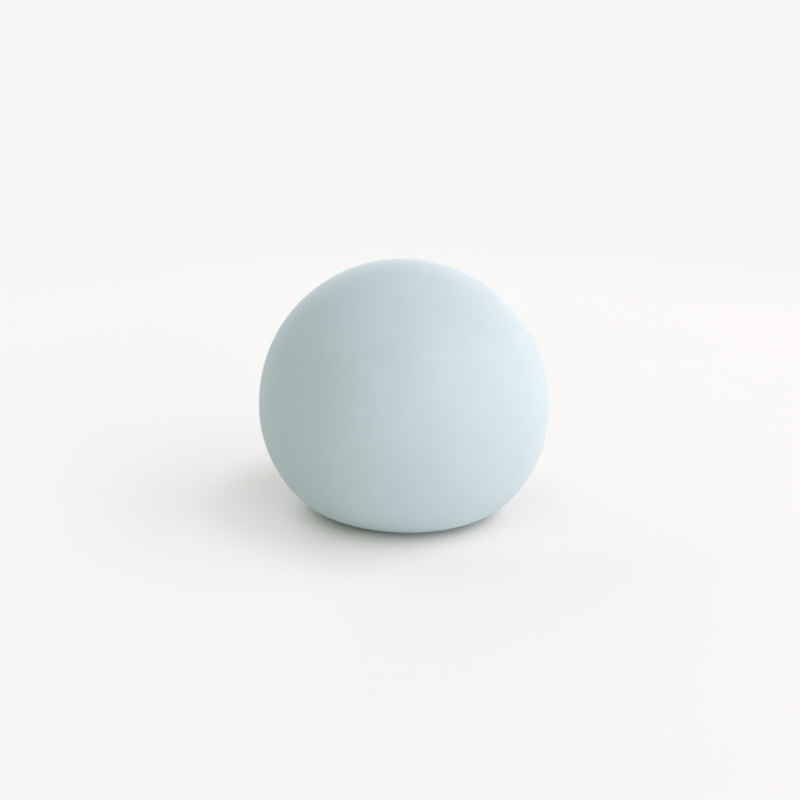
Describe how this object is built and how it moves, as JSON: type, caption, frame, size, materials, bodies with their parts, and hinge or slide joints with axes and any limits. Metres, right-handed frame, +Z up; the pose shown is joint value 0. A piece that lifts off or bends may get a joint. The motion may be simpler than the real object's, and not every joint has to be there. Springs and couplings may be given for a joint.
{
  "type": "squeeze ball",
  "caption": "Soft ball of pale blue-white glow-pigmented rubber skin round a dough filling, settled flat underneath, squeezed in the hand and springing back.",
  "frame": {"origin": "middle of the flat that the ball rests on", "axes": "+Z up through the crown; -Y faces the viewer of the picture"},
  "size_m": [0.07, 0.07, 0.0605],
  "materials": {
    "skin": "matte, slightly see-through thermoplastic rubber with glow pigment in it",
    "filling": "dull, dense dough",
    "plug": "matte rubber",
    "glue": "clear glue gone cloudy"
  },
  "bodies": {
    "base": {"skin_body": "skin", "filling": "filling", "fill_plug": "plug", "plug_glue": "glue"},
    "crown": {"skin_crown": "skin"}
  },
  "joints": [
    {"name": "squeeze", "type": "slide", "parent": "base", "child": "crown", "axis": [0, 0, -1], "range_m": [0, 0.02], "stiffness_N_per_m": 2000, "deforming": ["skin_body", "filling"]}
  ]
}
